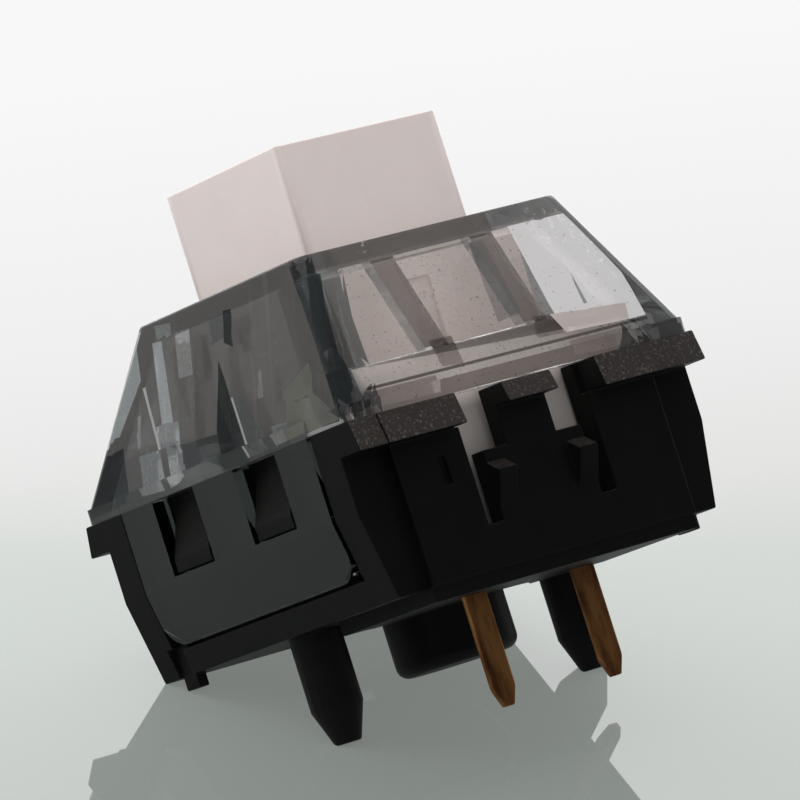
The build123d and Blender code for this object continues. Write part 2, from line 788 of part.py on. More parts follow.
# Moving contact point, welded to the leaf
with BuildPart() as moving_contact_point:
    with BuildSketch(Plane.XZ.offset(-leaf_y + leaf_t / 2)):
        with Locations((point_x, point_z)):
            Circle(point_d / 2)
    extrude(amount=point_t)
moving_contact_point.part.label = "moving_contact_point"
export_step(moving_contact_point.part, "parts/moving_contact_point.step")

# Rivet that holds the leaf to the tab
with BuildPart() as leaf_rivet:
    rivet_length = strip_t + leaf_gap + leaf_t + rivet_play
    with BuildSketch(Plane.XZ.offset(-tab_y - strip_t / 2)):
        with Locations((rivet_x, rivet_z)):
            Circle(rivet_d / 2)
    extrude(amount=rivet_length)
    with BuildSketch(Plane.XZ.offset(-tab_y - strip_t / 2 + rivet_length)):
        with Locations((rivet_x, rivet_z)):
            Circle(rivet_head_d / 2)
    extrude(amount=rivet_head_t)
leaf_rivet.part.label = "leaf_rivet"
export_step(leaf_rivet.part, "parts/leaf_rivet.step")

# Chamber cover, open below, with the pusher's hole and a slot over the bridge
with BuildPart() as contact_cover:
    with BuildSketch(Plane.XY.offset(floor_top)):
        with Locations((chamber_at_x, chamber_at_y)):
            Rectangle(chamber_x1 - chamber_x0, chamber_y1 - chamber_y0)
    extrude(amount=chamber_top_z - floor_top)
    fillet(contact_cover.edges().filter_by(Axis.Z), 0.2)
    with BuildSketch(Plane.XY.offset(floor_top)):
        with Locations((chamber_at_x, chamber_at_y)):
            Rectangle(chamber_x1 - chamber_x0 - 2 * chamber_wall, chamber_y1 - chamber_y0 - 2 * chamber_wall)
    extrude(amount=chamber_top_z - chamber_wall - floor_top, mode=Mode.SUBTRACT)
    with BuildSketch(Plane.XZ.offset(-chamber_y1)):
        with Locations((0, push_z)):
            Rectangle(pusher_w + 2 * pusher_fit, pusher_h + 2 * pusher_fit)
        with Locations((bridge_x - strip_t / 2, (floor_top + bridge_top_z) / 2)):
            Rectangle(strip_t + 0.1, bridge_top_z - floor_top + 0.1)
    extrude(amount=chamber_wall, mode=Mode.SUBTRACT)
contact_cover.part.label = "contact_cover"
export_step(contact_cover.part, "parts/contact_cover.step")

# Pusher: shaft through the cover, with a flange that keeps it in
pusher_tip_y = cam_y(push_z + pusher_h / 2) - pusher_gap
flange_y1 = chamber_y1 - chamber_wall - pusher_fit
with BuildPart() as contact_pusher:
    with BuildSketch(Plane.XZ.offset(-pusher_tip_y)):
        with Locations((0, push_z)):
            Rectangle(pusher_w, pusher_h)
    extrude(amount=pusher_tip_y - flange_y1)
    fillet(contact_pusher.faces().sort_by(Axis.Y)[-1].edges(), 0.08)
    with BuildSketch(Plane.XZ.offset(-flange_y1)):
        with Locations((0, push_z)):
            Rectangle(pusher_w + 2 * pusher_flange, pusher_h + 2 * pusher_flange)
    extrude(amount=pusher_flange_t)
    with BuildSketch(Plane.XZ.offset(-flange_y1 + pusher_flange_t)):
        with Locations((0, push_z)):
            Circle(pusher_w / 4)
    extrude(amount=pusher_nose)
contact_pusher.part.label = "contact_pusher"
export_step(contact_pusher.part, "parts/contact_pusher.step")
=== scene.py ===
import json
from math import cos, radians, sin

import bpy
from mathutils import Matrix, Vector

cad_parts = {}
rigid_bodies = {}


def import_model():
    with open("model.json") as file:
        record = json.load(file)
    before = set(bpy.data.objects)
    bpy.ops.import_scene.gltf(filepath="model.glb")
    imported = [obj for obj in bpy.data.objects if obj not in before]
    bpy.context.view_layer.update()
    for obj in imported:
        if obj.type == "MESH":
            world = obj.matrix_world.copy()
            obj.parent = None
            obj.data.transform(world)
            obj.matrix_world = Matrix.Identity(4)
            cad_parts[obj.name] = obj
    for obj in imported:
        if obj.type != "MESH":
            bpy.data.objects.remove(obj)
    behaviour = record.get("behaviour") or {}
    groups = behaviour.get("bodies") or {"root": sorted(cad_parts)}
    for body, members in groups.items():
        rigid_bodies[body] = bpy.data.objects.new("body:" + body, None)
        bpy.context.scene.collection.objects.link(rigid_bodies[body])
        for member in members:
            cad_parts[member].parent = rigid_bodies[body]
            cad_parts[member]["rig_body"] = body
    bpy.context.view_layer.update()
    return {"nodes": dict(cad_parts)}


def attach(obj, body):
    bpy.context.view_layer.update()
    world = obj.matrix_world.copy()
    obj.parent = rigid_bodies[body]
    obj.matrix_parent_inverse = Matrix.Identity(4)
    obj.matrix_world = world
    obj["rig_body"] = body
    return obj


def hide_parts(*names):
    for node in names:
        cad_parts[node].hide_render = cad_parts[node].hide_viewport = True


# A mechanical key switch that leans on a glossy pale surface, seen from the pin side
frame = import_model()
bpy.ops.object.select_all(action="DESELECT")
MM = 0.001


def hex_colour(code):
    """Linear RGBA from an sRGB hex value."""
    channels = [int(code[i : i + 2], 16) / 255 for i in (0, 2, 4)]
    linear = [c / 12.92 if c <= 0.04045 else ((c + 0.055) / 1.055) ** 2.4 for c in channels]
    return (*linear, 1.0)


def add_node(tree, kind, settings=None, links=None):
    """Adds one node, with its settings by property or input name and its links by input name."""
    made = tree.nodes.new(kind)
    for key, value in (settings or {}).items():
        if isinstance(key, str) and hasattr(made, key):
            setattr(made, key, value)
        else:
            made.inputs[key].default_value = value
    for key, socket in (links or {}).items():
        tree.links.new(socket, made.inputs[key])
    return made


def new_material(name):
    """An empty node material."""
    material = bpy.data.materials.new(name)
    material.use_nodes = True
    material.node_tree.nodes.clear()
    return material


def dress(piece, material):
    """Gives a piece one material."""
    piece.data.materials.clear()
    piece.data.materials.append(material)


# Camera, from the fit to the photo: turned about the object, then rolled
AZIMUTH = radians(-37.214)
ELEVATION = radians(-3.624)
ROLL = radians(-17.533)
DISTANCE = 222.0 * MM
SHIFT_RIGHT = 0.428 * MM
SHIFT_UP = 0.939 * MM
FOCAL_PIXELS = 7010.9
PHOTO_PIXELS = 800
SENSOR_WIDTH = 36
NEAR_CLIP = 10 * MM

# Middle of the switch, which the camera and the lamps face, and how far away the lamps are
MIDDLE = Vector((0, 0, 6 * MM))
LAMP_DISTANCE = 250 * MM
# Strength of the even light
EVEN_LIGHT = 0.9

to_camera = Vector(
    (sin(AZIMUTH) * cos(ELEVATION), -cos(AZIMUTH) * cos(ELEVATION), sin(ELEVATION))
)
level_right = Vector((0, 0, 1)).cross(to_camera).normalized()
level_up = to_camera.cross(level_right)
photo_right = level_right * cos(ROLL) + level_up * sin(ROLL)
photo_up = level_up * cos(ROLL) - level_right * sin(ROLL)
camera_data = bpy.data.cameras.new("camera")
camera_data.sensor_width = SENSOR_WIDTH
camera_data.lens = SENSOR_WIDTH * FOCAL_PIXELS / PHOTO_PIXELS
camera_data.clip_start = NEAR_CLIP
camera = bpy.data.objects.new("camera", camera_data)
bpy.context.collection.objects.link(camera)
camera.matrix_world = Matrix((photo_right, photo_up, to_camera)).transposed().to_4x4()
camera.location = (
    MIDDLE + photo_right * SHIFT_RIGHT + photo_up * SHIFT_UP + to_camera * DISTANCE
)
bpy.context.scene.camera = camera

# World: a pale backdrop for the eye and for what is seen straight through the clear housing,
# an even light for the surfaces, and a darker room in front for the reflections
world = bpy.data.worlds.new("studio")
bpy.context.scene.world = world
world.use_nodes = True
tree = world.node_tree
tree.nodes.clear()
direction = add_node(tree, "ShaderNodeTexCoord").outputs["Generated"]
height = add_node(
    tree,
    "ShaderNodeVectorMath",
    {"operation": "DOT_PRODUCT", 1: photo_up - photo_right * 0.1},
    {0: direction},
).outputs["Value"]
depth = add_node(
    tree,
    "ShaderNodeVectorMath",
    {"operation": "DOT_PRODUCT", 1: -to_camera},
    {0: direction},
).outputs["Value"]
backdrop_share = add_node(
    tree,
    "ShaderNodeMapRange",
    {"From Min": -0.03, "From Max": 0.05},
    {"Value": height},
).outputs["Result"]
backdrop = add_node(tree, "ShaderNodeValToRGB", None, {"Fac": backdrop_share})
ramp = backdrop.color_ramp
ramp.elements[0].position = 0.0
ramp.elements[0].color = hex_colour("d6d8d5")
ramp.elements[1].position = 1.0
ramp.elements[1].color = hex_colour("f8f8f8")
for stop, tone in ((0.2, "e4e5e3"), (0.5, "efefef")):
    ramp.elements.new(stop).color = hex_colour(tone)
room_share = add_node(
    tree,
    "ShaderNodeMapRange",
    {"From Min": 0.3, "From Max": 0.85, "interpolation_type": "SMOOTHSTEP"},
    {"Value": depth},
).outputs["Result"]
room = add_node(
    tree,
    "ShaderNodeMix",
    {"data_type": "RGBA", 6: hex_colour("565a5c"), 7: hex_colour("f8f8f8")},
    {"Factor": room_share},
).outputs[2]
straight = add_node(
    tree,
    "ShaderNodeMapRange",
    {"From Min": 0.35, "From Max": 0.7, "interpolation_type": "SMOOTHSTEP"},
    {"Value": depth},
).outputs["Result"]
through = add_node(
    tree,
    "ShaderNodeMix",
    {"data_type": "RGBA"},
    {"Factor": straight, 6: room, 7: backdrop.outputs["Color"]},
).outputs[2]
path = add_node(tree, "ShaderNodeLightPath")
light = add_node(
    tree, "ShaderNodeBackground", {"Color": hex_colour("ffffff"), "Strength": EVEN_LIGHT}
)
for rays, colour in (
    ("Is Glossy Ray", room),
    ("Is Transmission Ray", through),
    ("Is Camera Ray", backdrop.outputs["Color"]),
):
    seen = add_node(tree, "ShaderNodeBackground", {"Strength": 1.0}, {"Color": colour})
    light = add_node(
        tree,
        "ShaderNodeMixShader",
        None,
        {"Fac": path.outputs[rays], 1: light.outputs[0], 2: seen.outputs[0]},
    )
add_node(tree, "ShaderNodeOutputWorld", None, {"Surface": light.outputs[0]})


def soft_lamp(name, towards, width, power):
    """A square white soft box that faces the switch, with its power in W."""
    data = bpy.data.lights.new(name, "AREA")
    data.shape = "SQUARE"
    data.size = width
    data.energy = power
    lamp = bpy.data.objects.new(name, data)
    bpy.context.collection.objects.link(lamp)
    place = towards.normalized()
    lamp.location = MIDDLE + place * LAMP_DISTANCE
    lamp.visible_glossy = False
    lamp.rotation_mode = "QUATERNION"
    lamp.rotation_quaternion = place.to_track_quat("Z", "Y")


above = photo_up - to_camera * 0.35
left_behind = photo_up * 0.5 - photo_right - to_camera * 0.2
right_behind = photo_right * 0.6 + photo_up * 0.3 - to_camera
soft_lamp("overhead", above, width=300 * MM, power=0.5)
soft_lamp("left_back", left_behind, width=250 * MM, power=0.48)
soft_lamp("right_back", right_behind, width=250 * MM, power=0.4)


def table_glass():
    """Frosted white glass, polished on top: it glows palely and mirrors the switch.

    It fades out behind the switch, and is clear from below.
    """
    glass = new_material("frosted white glass, polished on top")
    tree = glass.node_tree
    place = add_node(tree, "ShaderNodeTexCoord").outputs["Object"]
    away = add_node(
        tree, "ShaderNodeVectorMath", {"operation": "DOT_PRODUCT", 1: -to_camera}, {0: place}
    ).outputs["Value"]
    matt = add_node(tree, "ShaderNodeBsdfDiffuse", {"Color": hex_colour("68706c")})
    glow_share = add_node(
        tree,
        "ShaderNodeMapRange",
        {"From Min": -10 * MM, "From Max": 8 * MM, "To Min": 0.27, "To Max": 0.4},
        {"Value": away},
    ).outputs["Result"]
    glow = add_node(
        tree, "ShaderNodeEmission", {"Color": hex_colour("eaf2ec")}, {"Strength": glow_share}
    )
    base = add_node(tree, "ShaderNodeAddShader", None, {0: matt.outputs[0], 1: glow.outputs[0]})
    mirror = add_node(
        tree, "ShaderNodeBsdfGlossy", {"Color": hex_colour("ffffff"), "Roughness": 0.02}
    )
    top = add_node(
        tree, "ShaderNodeMixShader", {"Fac": 0.36}, {1: base.outputs[0], 2: mirror.outputs[0]}
    )
    fade = add_node(
        tree,
        "ShaderNodeMapRange",
        {"From Min": 8 * MM, "From Max": 21 * MM, "interpolation_type": "SMOOTHSTEP"},
        {"Value": away},
    ).outputs["Result"]
    below = add_node(tree, "ShaderNodeNewGeometry").outputs["Backfacing"]
    gone = add_node(
        tree, "ShaderNodeMath", {"operation": "MAXIMUM"}, {0: fade, 1: below}
    ).outputs[0]
    clear = add_node(tree, "ShaderNodeBsdfTransparent")
    mixed = add_node(
        tree, "ShaderNodeMixShader", None, {"Fac": gone, 1: top.outputs[0], 2: clear.outputs[0]}
    )
    add_node(tree, "ShaderNodeOutputMaterial", None, {"Surface": mixed.outputs[0]})
    return glass


# Pale glossy surface under the switch, which leans on its two pegs and the foot behind
PEG_TIP = Vector((5.08, 0, -3.15)) * MM
FOOT_EDGE = Vector((-5.8, 5.725, 0)) * MM
TABLE_WIDTH = 120 * MM
TABLE_GAP = 0.02 * MM
along = Vector((1, 0, 0))
floor_up = along.cross(FOOT_EDGE - PEG_TIP).normalized()
floor_depth = floor_up.cross(along)
bpy.ops.mesh.primitive_grid_add(x_subdivisions=20, y_subdivisions=20, size=TABLE_WIDTH)
floor = bpy.context.active_object
floor.name = "table_top"
turn = Matrix((along, floor_depth, floor_up)).transposed().to_4x4()
floor.data.transform(Matrix.Translation(PEG_TIP - floor_up * TABLE_GAP) @ turn)
floor.data.materials.append(table_glass())

# Patterns of the plastics in steps per metre: dust of 0.2 mm, rubbed patches of 2 mm, grit and
# scuffs of 0.1 mm, clouds of 1 mm, and hairlines 9 mm long
DUST_STEPS = 4500.0
RUBBED_STEPS = 450.0
GRIT_STEPS = 9000.0
SCUFF_STEPS = 11000.0
CLOUD_STEPS = 900.0
HAIRLINE_STEPS = 110
# Hairlines: tilt and turn of each set in radians with its steps per metre across, then their lean
HAIRLINE_SETS = ((0.3, 0.4, 2600), (-0.6, 1.9, 2100), (0.9, 2.7, 3000))
HAIRLINE_LEAN = 0.2
# Wear above which a clear face has grit on it, and how strongly the grit shows
GRIT_WEAR = 0.05
GRIT_SHOWS = 0.6
# Grain of a mould, the depth of the relief that bumps stand for, and the patina of metal strip in
# steps per metre, across it twice and along it
MOULD_GRAIN = 0.04 * MM
RELIEF = 0.01 * MM
PATINA_STEPS = (1800, 1800, 500)


def clear_polycarbonate(name, tint, shade_tint, haze, wear, veil_tint, let_through=0.65, gloss=0.5):
    """Clear polycarbonate: sharp gloss, hairline scratches, dust and a smoky depth.

    The haze is the share of the light that a ground or dusty face scatters, and let_through is
    the share of it that goes on into the plastic. Faces with little wear have no grit.
    """
    material = new_material(name)
    tree = material.node_tree
    place = add_node(tree, "ShaderNodeTexCoord").outputs["Object"]
    scratches = None
    for tilt, turn, across in HAIRLINE_SETS:
        turned = add_node(
            tree,
            "ShaderNodeMapping",
            {
                "Rotation": (tilt, HAIRLINE_LEAN, turn),
                "Scale": (HAIRLINE_STEPS, across, HAIRLINE_STEPS),
            },
            {"Vector": place},
        ).outputs[0]
        streaks = add_node(
            tree, "ShaderNodeTexNoise", {"Scale": 1.0, "Detail": 3.0}, {"Vector": turned}
        ).outputs["Fac"]
        fine = add_node(
            tree, "ShaderNodeMapRange", {"From Min": 0.66, "From Max": 0.74}, {"Value": streaks}
        ).outputs["Result"]
        if scratches is None:
            scratches = fine
        else:
            scratches = add_node(
                tree, "ShaderNodeMath", {"operation": "MAXIMUM"}, {0: scratches, 1: fine}
            ).outputs[0]
    mottle = add_node(
        tree, "ShaderNodeTexNoise", {"Scale": DUST_STEPS, "Detail": 3.0}, {"Vector": place}
    ).outputs["Fac"]
    patches = add_node(
        tree, "ShaderNodeTexNoise", {"Scale": RUBBED_STEPS, "Detail": 2.0}, {"Vector": place}
    ).outputs["Fac"]
    rubbed = add_node(
        tree, "ShaderNodeMapRange", {"From Min": 0.5, "From Max": 0.62}, {"Value": patches}
    ).outputs["Result"]
    specks = add_node(
        tree, "ShaderNodeMapRange", {"From Min": 0.58, "From Max": 0.68}, {"Value": mottle}
    ).outputs["Result"]
    dust = add_node(
        tree, "ShaderNodeMath", {"operation": "MULTIPLY"}, {0: specks, 1: rubbed}
    ).outputs[0]
    roughness = add_node(
        tree, "ShaderNodeMapRange", {"To Min": 0.04, "To Max": 0.04 + wear}, {"Value": scratches}
    ).outputs["Result"]
    bump = add_node(
        tree, "ShaderNodeBump", {"Strength": 0.06, "Distance": RELIEF}, {"Height": mottle}
    ).outputs[0]
    plastic = add_node(
        tree,
        "ShaderNodeBsdfPrincipled",
        {
            "Base Color": hex_colour(tint),
            "IOR": 1.585,
            "Transmission Weight": 1.0,
            "Specular IOR Level": gloss,
        },
        {"Roughness": roughness, "Normal": bump},
    )
    marked = add_node(
        tree, "ShaderNodeMath", {"operation": "MAXIMUM"}, {0: scratches, 1: dust}
    ).outputs[0]
    veil = add_node(
        tree, "ShaderNodeMapRange", {"To Min": haze, "To Max": haze + wear}, {"Value": marked}
    ).outputs["Result"]
    matt_side = add_node(tree, "ShaderNodeBsdfDiffuse", {"Color": hex_colour(veil_tint)})
    lit_through = add_node(tree, "ShaderNodeBsdfTranslucent", {"Color": hex_colour(veil_tint)})
    dusty = add_node(
        tree,
        "ShaderNodeMixShader",
        {"Fac": let_through},
        {1: matt_side.outputs[0], 2: lit_through.outputs[0]},
    )
    worn = add_node(
        tree, "ShaderNodeMixShader", None, {"Fac": veil, 1: plastic.outputs[0], 2: dusty.outputs[0]}
    )
    grains = add_node(
        tree, "ShaderNodeTexNoise", {"Scale": GRIT_STEPS, "Detail": 2.0}, {"Vector": place}
    ).outputs["Fac"]
    most_grit = GRIT_SHOWS if wear > GRIT_WEAR else 0.0
    grit_share = add_node(
        tree,
        "ShaderNodeMapRange",
        {"From Min": 0.68, "From Max": 0.72, "To Max": most_grit},
        {"Value": grains},
    ).outputs["Result"]
    grit = add_node(tree, "ShaderNodeBsdfDiffuse", {"Color": hex_colour("6a6460")})
    gritty = add_node(
        tree,
        "ShaderNodeMixShader",
        None,
        {"Fac": grit_share, 1: worn.outputs[0], 2: grit.outputs[0]},
    )
    shade = add_node(tree, "ShaderNodeBsdfTransparent", {"Color": hex_colour(shade_tint)})
    path = add_node(tree, "ShaderNodeLightPath")
    passing = add_node(
        tree,
        "ShaderNodeMath",
        {"operation": "MAXIMUM"},
        {0: path.outputs["Is Shadow Ray"], 1: path.outputs["Is Diffuse Ray"]},
    ).outputs[0]
    surface = add_node(
        tree,
        "ShaderNodeMixShader",
        None,
        {"Fac": passing, 1: gritty.outputs[0], 2: shade.outputs[0]},
    )
    smoke = add_node(
        tree, "ShaderNodeVolumeAbsorption", {"Color": hex_colour("c8c8cc"), "Density": 40.0}
    )
    add_node(
        tree,
        "ShaderNodeOutputMaterial",
        None,
        {"Surface": surface.outputs[0], "Volume": smoke.outputs[0]},
    )
    return material


def moulded_plastic(name, low, high, roughness, specular, subsurface=0.0):
    """Moulded opaque plastic: an even colour with a little cloud, and a fine mould grain."""
    material = new_material(name)
    tree = material.node_tree
    place = add_node(tree, "ShaderNodeTexCoord").outputs["Object"]
    cloud = add_node(
        tree, "ShaderNodeTexNoise", {"Scale": CLOUD_STEPS, "Detail": 4.0}, {"Vector": place}
    ).outputs["Fac"]
    colour = add_node(
        tree,
        "ShaderNodeMix",
        {"data_type": "RGBA", 6: hex_colour(low), 7: hex_colour(high)},
        {"Factor": cloud},
    ).outputs[2]
    grain = add_node(
        tree, "ShaderNodeTexNoise", {"Scale": 1 / MOULD_GRAIN, "Detail": 2.0}, {"Vector": place}
    ).outputs["Fac"]
    bump = add_node(
        tree, "ShaderNodeBump", {"Strength": 0.1, "Distance": RELIEF}, {"Height": grain}
    ).outputs[0]
    gloss = add_node(
        tree,
        "ShaderNodeMapRange",
        {"To Min": roughness - 0.06, "To Max": roughness + 0.06},
        {"Value": cloud},
    ).outputs["Result"]
    plastic = add_node(
        tree,
        "ShaderNodeBsdfPrincipled",
        {
            "IOR": 1.5,
            "Specular IOR Level": specular,
            "Subsurface Weight": subsurface,
            "Subsurface Scale": 0.3 * MM,
        },
        {"Base Color": colour, "Roughness": gloss, "Normal": bump},
    )
    add_node(tree, "ShaderNodeOutputMaterial", None, {"Surface": plastic.outputs[0]})
    return material


def worn_metal(name, base, dark, roughness):
    """Rolled metal strip or wire: metallic, with darker patina in clouds along the strip."""
    material = new_material(name)
    tree = material.node_tree
    place = add_node(tree, "ShaderNodeTexCoord").outputs["Object"]
    long_way = add_node(
        tree, "ShaderNodeMapping", {"Scale": PATINA_STEPS}, {"Vector": place}
    ).outputs[0]
    patina = add_node(
        tree,
        "ShaderNodeTexNoise",
        {"Scale": 1.0, "Detail": 5.0, "Roughness": 0.6},
        {"Vector": long_way},
    ).outputs["Fac"]
    share = add_node(
        tree, "ShaderNodeMapRange", {"From Min": 0.4, "From Max": 0.65}, {"Value": patina}
    ).outputs["Result"]
    colour = add_node(
        tree,
        "ShaderNodeMix",
        {"data_type": "RGBA", 6: hex_colour(base), 7: hex_colour(dark)},
        {"Factor": share},
    ).outputs[2]
    rough = add_node(
        tree,
        "ShaderNodeMapRange",
        {"To Min": roughness, "To Max": roughness + 0.25},
        {"Value": share},
    ).outputs["Result"]
    metal = add_node(
        tree,
        "ShaderNodeBsdfPrincipled",
        {"Metallic": 1.0},
        {"Base Color": colour, "Roughness": rough},
    )
    add_node(tree, "ShaderNodeOutputMaterial", None, {"Surface": metal.outputs[0]})
    return material


def eased_copy(name, node, width):
    """A copy of a CAD node with its edges eased, which stands for the node."""
    piece = bpy.data.objects.new(name, frame["nodes"][node].data.copy())
    bpy.context.collection.objects.link(piece)
    bpy.ops.object.select_all(action="DESELECT")
    bpy.context.view_layer.objects.active = piece
    piece.select_set(True)
    bpy.ops.object.mode_set(mode="EDIT")
    bpy.ops.mesh.select_all(action="SELECT")
    bpy.ops.mesh.remove_doubles(threshold=0.001 * MM)
    if width:
        bpy.ops.mesh.dissolve_limited(angle_limit=radians(0.5))
    bpy.ops.object.mode_set(mode="OBJECT")
    if width:
        bevel = piece.modifiers.new("eased edges", "BEVEL")
        bevel.width = width
        bevel.segments = 2
        bevel.limit_method = "ANGLE"
        bevel.angle_limit = radians(35)
        bevel.use_clamp_overlap = False
        bpy.ops.object.modifier_apply(modifier=bevel.name)
        bpy.ops.object.shade_smooth_by_angle(angle=radians(25))
        flat = piece.modifiers.new("flat faces stay flat", "WEIGHTED_NORMAL")
        flat.keep_sharp = True
        flat.weight = 100
        bpy.ops.object.modifier_apply(modifier=flat.name)
    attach(piece, frame["nodes"][node]["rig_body"])
    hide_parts(node)
    return piece


# Stem's square wall in mm: where its corners start, its foot, and their radius before and after
WALL_CORNER_X = 2.9
WALL_CORNER_Y = 2.8
WALL_FOOT = 10.6
WALL_ROUND = 0.35
WALL_ROUND_SEEN = 0.12


def sharpen_wall_corners(piece):
    """Gives the stem's square wall the sharper corners that the photo shows."""
    reach = (WALL_ROUND - WALL_ROUND_SEEN) * MM
    taken_off = 1 - WALL_ROUND_SEEN / WALL_ROUND
    for point in piece.data.vertices:
        past_x = abs(point.co.x) - WALL_CORNER_X * MM
        past_y = abs(point.co.y) - WALL_CORNER_Y * MM
        if past_x > 0 and past_y > 0 and point.co.z > WALL_FOOT * MM:
            point.co.x += (reach - past_x * taken_off) * (1 if point.co.x > 0 else -1)
            point.co.y += (reach - past_y * taken_off) * (1 if point.co.y > 0 else -1)


# Height at which the corner on the lamp side turns from dark to pale, where the far flap side
# turns from ground grey to frosted, and where the scratched upper border starts, in mm
LAMP_CORNER_SPLIT = 8.1
FAR_CORNER_SPLIT = -4.4
SCRATCHED_FROM = 10.85

# Places in mm that tell the faces of the clear housing apart, by the middle of a face
RIM_BOTTOM = 6
RIM_TOP = 6.5
RIM_FACE_Y = -7.3
CORNER_X = 3.4
CORNER_Z = (6.3, 11.3)
PIN_CORNER_Y = -3.5
LAMP_CORNER_Y = 3
OPENING_X = 3.5
OPENING_Y = 3.4
OPENING_Z = (10.6, 11.45)
FLAP_X = 6
FLAP_EDGE_X = 7
FLAP_TOP = 5.98
FLAP_WALL_X = 5
PIN_WALL_Y = -4.9
LAMP_WALL_Y = 3.9
RIB_X = (1.5, 2.5)
RIB_Y = (-6.2, -3.9)
RIB_FOOT = 7.2
RAIL_RIB_X = 4.6
RAIL_RIB_Y = (0.6, 0.9)

# How far a face is turned to a side, from 0 to 1
SLANTED = 0.07
UPRIGHT = 0.2
TOWARDS_PINS = 0.35
ROUNDED = 0.45
HALF_TURNED = 0.5
TOWARDS_LAMP = 0.7
SIDEWAYS = 0.8
STRAIGHT = 0.9
SQUARE = 0.97


def within(value, limits):
    """Whether a value lies between two limits."""
    return limits[0] < value < limits[1]


def finish_of(face):
    """Which finish a face of the clear housing has, by its place and the way it faces."""
    turn_x, turn_y, turn_z = face.normal
    at_x, at_y, at_z = face.center / MM
    out_x = abs(at_x)
    outer_x = turn_x * at_x > 0
    slanted = abs(turn_x) > SLANTED and abs(turn_y) > SLANTED
    if slanted and out_x > CORNER_X and within(at_z, CORNER_Z):
        if at_y < PIN_CORNER_Y and at_x < 0:
            # The rounded facets of the near corner take the dim finish, whose pale haze is a
            # painted highlight along the corner
            return "dim" if turn_x < -ROUNDED and turn_y < -ROUNDED else "thick corner"
        if at_y < PIN_CORNER_Y:
            return "grey corner" if outer_x else "frosted"
        if at_y > LAMP_CORNER_Y and at_x < 0:
            return "frosted" if at_z > LAMP_CORNER_SPLIT else "thick web"
    in_opening = out_x < OPENING_X and abs(at_y) < OPENING_Y and within(at_z, OPENING_Z)
    if in_opening and abs(turn_z) < UPRIGHT and not outer_x:
        return "ground border"
    if out_x > FLAP_X and at_z < FLAP_TOP:
        return "smoky flap" if at_x < 0 else "far flap"
    if turn_y < -HALF_TURNED and at_z > SCRATCHED_FROM and at_y < PIN_WALL_Y:
        return "scratched border"
    if abs(turn_x) > SIDEWAYS and outer_x and out_x > FLAP_WALL_X:
        # On the near flap side the outer face and its rim are darkened, as painted shade
        if at_x < 0:
            return "smoky rim" if at_z < RIM_TOP else "near flap side, painted shade"
        return "grey corner" if at_y < FAR_CORNER_SPLIT else "frosted"
    if turn_y > TOWARDS_LAMP and at_y > LAMP_WALL_Y and turn_z > UPRIGHT:
        return "dusty wall" if at_z > LAMP_CORNER_SPLIT else "grey corner"
    if turn_y < -SQUARE and at_y < RIM_FACE_Y:
        return "rim"
    on_rib = within(out_x, RIB_X) and within(at_y, RIB_Y) and at_z > RIB_FOOT
    # Faces of the ribs that turn to the lamp side are tinted darker
    if on_rib and turn_y > HALF_TURNED:
        return "darker rib"
    if abs(turn_y) > STRAIGHT and within(at_y, RAIL_RIB_Y) and out_x > RAIL_RIB_X:
        return "thick corner"
    return "clear"
